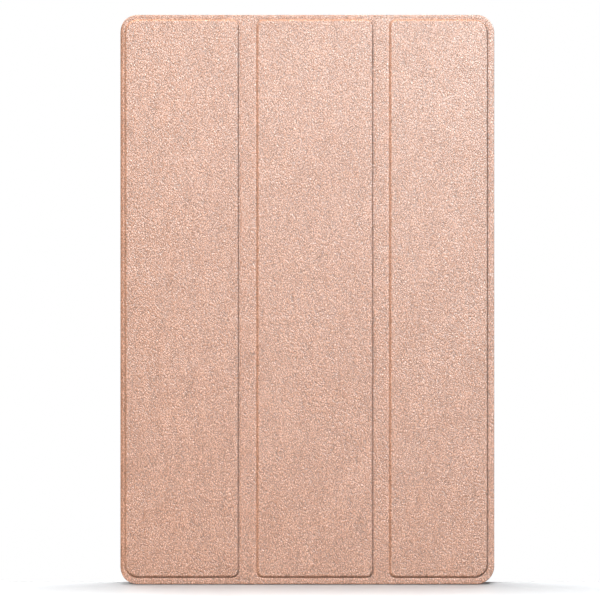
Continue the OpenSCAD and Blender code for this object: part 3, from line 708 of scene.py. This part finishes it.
def board_stock():
    """Printed circuit board: green mask with copper tracks and pads under it."""
    m = Mat("circuit_board")
    at = m.place()
    brick = m.node("ShaderNodeTexBrick", offset=0.5)
    m.link(at, brick.inputs["Vector"])
    brick.inputs["Scale"].default_value = 160.0
    brick.inputs["Mortar Size"].default_value = 0.035
    brick.inputs["Color1"].default_value = rgb(0.012, 0.075, 0.045)
    brick.inputs["Color2"].default_value = rgb(0.016, 0.095, 0.058)
    brick.inputs["Mortar"].default_value = rgb(0.05, 0.19, 0.10)
    vias = m.voronoi(at, 420.0, "F1", 0.9)
    dot = m.math("LESS_THAN", vias, 0.16)
    m.link(m.mix(dot, brick.outputs[0], rgb(0.62, 0.42, 0.16)), m.bsdf.inputs["Base Color"])
    m.link(m.bump(m.math("SUBTRACT", 1.0, dot), 0.00002, 0.6), m.bsdf.inputs["Normal"])
    m.set(Roughness=0.35, Specular_IOR_Level=0.5)
    return m


def screen_glass():
    """Black-bordered cover glass over a switched-off display, with the front camera behind its border."""
    m = Mat("cover_glass_dark")
    at = m.place()
    xyz = m.node("ShaderNodeSeparateXYZ")
    m.link(at, xyz.inputs[0])
    cx, cy = (display_lo[0] + display_hi[0]) / 2 * MM, (display_lo[1] + display_hi[1]) / 2 * MM
    hx, hy = (display_hi[0] - display_lo[0]) / 2 * MM, (display_hi[1] - display_lo[1]) / 2 * MM
    inx = m.math("LESS_THAN", m.math("ABSOLUTE", m.math("SUBTRACT", xyz.outputs[0], cx)), hx)
    iny = m.math("LESS_THAN", m.math("ABSOLUTE", m.math("SUBTRACT", xyz.outputs[1], cy)), hy)
    inside = m.math("MULTIPLY", inx, iny)
    px = float(glass_hi[0] - 4.0) * MM
    d = m.math("SQRT", m.math("ADD", m.math("POWER", m.math("SUBTRACT", xyz.outputs[0], px), 2.0), m.math("POWER", xyz.outputs[1], 2.0)))
    eye = m.math("LESS_THAN", d, 0.0017)
    pupil = m.math("LESS_THAN", d, 0.0008)
    haze = m.noise(at, 14.0, 3.0, 0.5)
    screen = m.mix(haze, rgb(0.0085, 0.0095, 0.0115), rgb(0.0115, 0.0125, 0.0150))
    c = m.mix(inside, rgb(0.0028, 0.0028, 0.0030), screen)
    c = m.mix(eye, c, rgb(0.016, 0.017, 0.022))
    c = m.mix(pupil, c, rgb(0.001, 0.001, 0.004))
    m.link(c, m.bsdf.inputs["Base Color"])
    m.link(m.math("MULTIPLY_ADD", haze, 0.03, 0.035), m.bsdf.inputs["Roughness"])
    m.set(Specular_IOR_Level=0.5, Coat_Weight=0.4, Coat_Roughness=0.03)
    return m


def lens_glass():
    m = Mat("lens_glass")
    at = m.place()
    xyz = m.node("ShaderNodeSeparateXYZ")
    m.link(at, xyz.inputs[0])
    d = m.math("SQRT", m.math("ADD", m.math("POWER", m.math("SUBTRACT", xyz.outputs[0], cam_c[0] * MM), 2.0), m.math("POWER", m.math("SUBTRACT", xyz.outputs[1], cam_c[1] * MM), 2.0)))
    c = m.ramp(m.math("MULTIPLY", d, 200.0), [(0.0, rgb(0.004, 0.006, 0.020)), (0.26, rgb(0.010, 0.014, 0.040)), (0.30, rgb(0.030, 0.030, 0.034)), (0.46, rgb(0.006, 0.006, 0.007)), (0.62, rgb(0.022, 0.022, 0.026)), (0.66, rgb(0.004, 0.004, 0.005)), (1.0, rgb(0.004, 0.004, 0.005))])
    m.link(c, m.bsdf.inputs["Base Color"])
    m.link(m.math("MULTIPLY_ADD", m.noise(at, 300.0), 0.03, 0.02), m.bsdf.inputs["Roughness"])
    m.set(Specular_IOR_Level=0.7, Coat_Weight=1.0, Coat_Roughness=0.02)
    return m


skin_mat, fibre_mat = leather(), microfibre()
for piece, *_ in crossing:
    piece.data.materials.append((skin_mat if piece.name.startswith("folio_skin") else fibre_mat).m)

by_slot = {
    "leatherette": skin_mat,
    "microfibre_lining": fibre_mat,
    "stiffener_board": moulded("grey_board", (0.20, 0.19, 0.18), (0.27, 0.26, 0.25), 0.85, 1800.0, 0.00003, 0.2),
    "magnet": brushed("nickel_plate", (0.62, 0.60, 0.57), (0.72, 0.70, 0.66), 0.28, (1, 1, 1)),
    "tray_plastic": moulded("tray_polycarbonate", (0.545, 0.330, 0.255), (0.585, 0.360, 0.282), 0.42, 3400.0, 0.000012, 0.45, mottle=30.0),
    "anodised_aluminium": moulded("anodised_aluminium", (0.46, 0.47, 0.49), (0.52, 0.53, 0.55), 0.36, 5200.0, 0.00001, metal=1.0, mottle=40.0),
    "cover_glass": screen_glass(),
    "adhesive": moulded("foam_tape", (0.03, 0.03, 0.03), (0.05, 0.05, 0.05), 0.9, 2400.0, 0.00003, 0.2),
    "display": moulded("display_stack", (0.010, 0.011, 0.014), (0.016, 0.017, 0.020), 0.18, 900.0, 0.000002),
    "sheet_metal": brushed("rolled_plate", (0.56, 0.56, 0.58), (0.66, 0.66, 0.68), 0.34),
    "screw_steel": brushed("screw_steel", (0.44, 0.44, 0.46), (0.55, 0.55, 0.57), 0.32, (1, 1, 1)),
    "battery_foil": moulded("battery_foil", (0.50, 0.51, 0.53), (0.58, 0.59, 0.61), 0.42, 700.0, 0.00003, metal=0.9),
    "circuit_board": board_stock(),
    "shield_steel": brushed("shield_steel", (0.60, 0.60, 0.60), (0.70, 0.70, 0.70), 0.30, (8, 1, 1)),
    "chip_plastic": moulded("chip_plastic", (0.016, 0.016, 0.018), (0.026, 0.026, 0.028), 0.55, 3000.0, 0.00001),
    "flex_film": moulded("polyimide_film", (0.42, 0.19, 0.035), (0.52, 0.25, 0.05), 0.32, 1500.0, 0.00001, coat=0.3),
    "speaker_plastic": moulded("speaker_plastic", (0.018, 0.018, 0.020), (0.028, 0.028, 0.030), 0.6, 2600.0, 0.00002),
    "camera_ring_metal": brushed("camera_ring_metal", (0.50, 0.51, 0.53), (0.60, 0.61, 0.63), 0.22, (1, 1, 1)),
    "camera_glass": lens_glass(),
    "flash_diffuser": moulded("flash_diffuser", (0.80, 0.74, 0.52), (0.88, 0.82, 0.62), 0.25, 1400.0, 0.00004, 0.6, coat=0.6),
    "gold_contact": brushed("gold_plate", (0.70, 0.48, 0.18), (0.80, 0.58, 0.26), 0.25, (1, 1, 1)),
}
slot_of = {p["node"]: p["material_slot"] for p in frame["record"]["subparts"]}
for name, ob in frame["nodes"].items():
    ob.data.materials.clear()
    ob.data.materials.append(by_slot[slot_of[name]].m)

# ---- stage: the case stands on its bottom edge on a pale table, as photographed ----
def plane(name, corners, mat):
    me = bpy.data.meshes.new(name)
    me.from_pydata([[c * MM for c in p] for p in corners], [], [(0, 1, 2, 3)])
    me.update()
    ob = link(bpy.data.objects.new(name, me))
    ob.data.materials.append(mat)
    return ob


table = bpy.data.materials.new("pale_table")
table.use_nodes = True
t = table.node_tree
t.nodes.clear()
t_out = t.nodes.new("ShaderNodeOutputMaterial")
t_mix = t.nodes.new("ShaderNodeMixShader")
t_geo = t.nodes.new("ShaderNodeNewGeometry")
t_clear = t.nodes.new("ShaderNodeBsdfTransparent")
t_top = t.nodes.new("ShaderNodeBsdfPrincipled")
t_top.inputs["Base Color"].default_value = (0.62, 0.63, 0.64, 1)
t_top.inputs["Roughness"].default_value = 0.32
t_top.inputs["Specular IOR Level"].default_value = 0.08
t.links.new(t_geo.outputs["Backfacing"], t_mix.inputs[0])
t.links.new(t_top.outputs[0], t_mix.inputs[1])
t.links.new(t_clear.outputs[0], t_mix.inputs[2])
t.links.new(t_mix.outputs[0], t_out.inputs[0])
Y_TABLE = -YH - 0.25
floor = plane("table", [(-1500, Y_TABLE, 3), (-1500, Y_TABLE, 2600), (1500, Y_TABLE, 2600), (1500, Y_TABLE, 3)], table)
floor.visible_diffuse = False   # the case is lit as if cut out: the white table throws no light up on it

world = bpy.data.worlds.new("studio")
scene.world = world
world.use_nodes = True
w = world.node_tree
w.nodes.clear()
w_out = w.nodes.new("ShaderNodeOutputWorld")
w_mix = w.nodes.new("ShaderNodeMixShader")
w_path = w.nodes.new("ShaderNodeLightPath")
w_room, w_white = w.nodes.new("ShaderNodeBackground"), w.nodes.new("ShaderNodeBackground")
w_room.inputs[0].default_value = (1.0, 1.0, 1.0, 1)
w_white.inputs[0].default_value = (1, 1, 1, 1)
w_white.inputs[1].default_value = 1.0
w_room.inputs[1].default_value = 0.22
w.links.new(w_path.outputs["Is Camera Ray"], w_mix.inputs[0])
w.links.new(w_room.outputs[0], w_mix.inputs[1])
w.links.new(w_white.outputs[0], w_mix.inputs[2])
w.links.new(w_mix.outputs[0], w_out.inputs[0])


def softbox(name, at, look, size, watts, colour=(1, 1, 1)):
    light = bpy.data.lights.new(name, "AREA")
    light.shape = "RECTANGLE"
    light.size, light.size_y = size[0] * MM, size[1] * MM
    light.energy = watts
    light.color = colour
    ob = link(bpy.data.objects.new(name, light))
    from mathutils import Vector
    a, b = Vector(P3(*at)), Vector(P3(*look))
    ob.location = a
    ob.rotation_mode = "QUATERNION"
    ob.rotation_quaternion = (b - a).to_track_quat("-Z", "Y")
    return ob


key = softbox("key", (-900, 1290, 1700), (0, 0, 0), (460, 460), 55.0)
key.visible_glossy = False
# a wide soft panel high on the right: the broad pale sheen on the cover's upper right
sheen = softbox("sheen", (1060, 1130, 1650), (1060, 1130, 0), (1500, 1300), 235.0)
sheen.visible_diffuse = False
# low on the upper left: a pale line along the rounded left and top edges of each panel
edge = softbox("edge", (-1200, 850, 560), (0, 0, 0), (700, 500), 14.0)
edge.visible_diffuse = False
# a narrow strip over the back edge, so the only shadow it casts is a short one in front of the bottom edge
overhead = softbox("overhead", (0, 1250, -85), (0, -130, -85), (560, 160), 26.0)
overhead.visible_glossy = False

# ---- camera: face on, a little left of the object's centre, as the photo's frame has it ----
cam = bpy.data.cameras.new("camera")
cam.lens, cam.sensor_width = 100.0, 36.0
cam.clip_start, cam.clip_end = 0.05, 20.0
camera = link(bpy.data.objects.new("camera", cam))
camera.location = P3(-3.24, -0.23, Z_FLAT + 761.0)
scene.camera = camera
scene.view_settings.view_transform = "Standard"
scene.view_settings.look = "None"
scene.view_settings.exposure = 0.0
scene.view_settings.gamma = 1.0
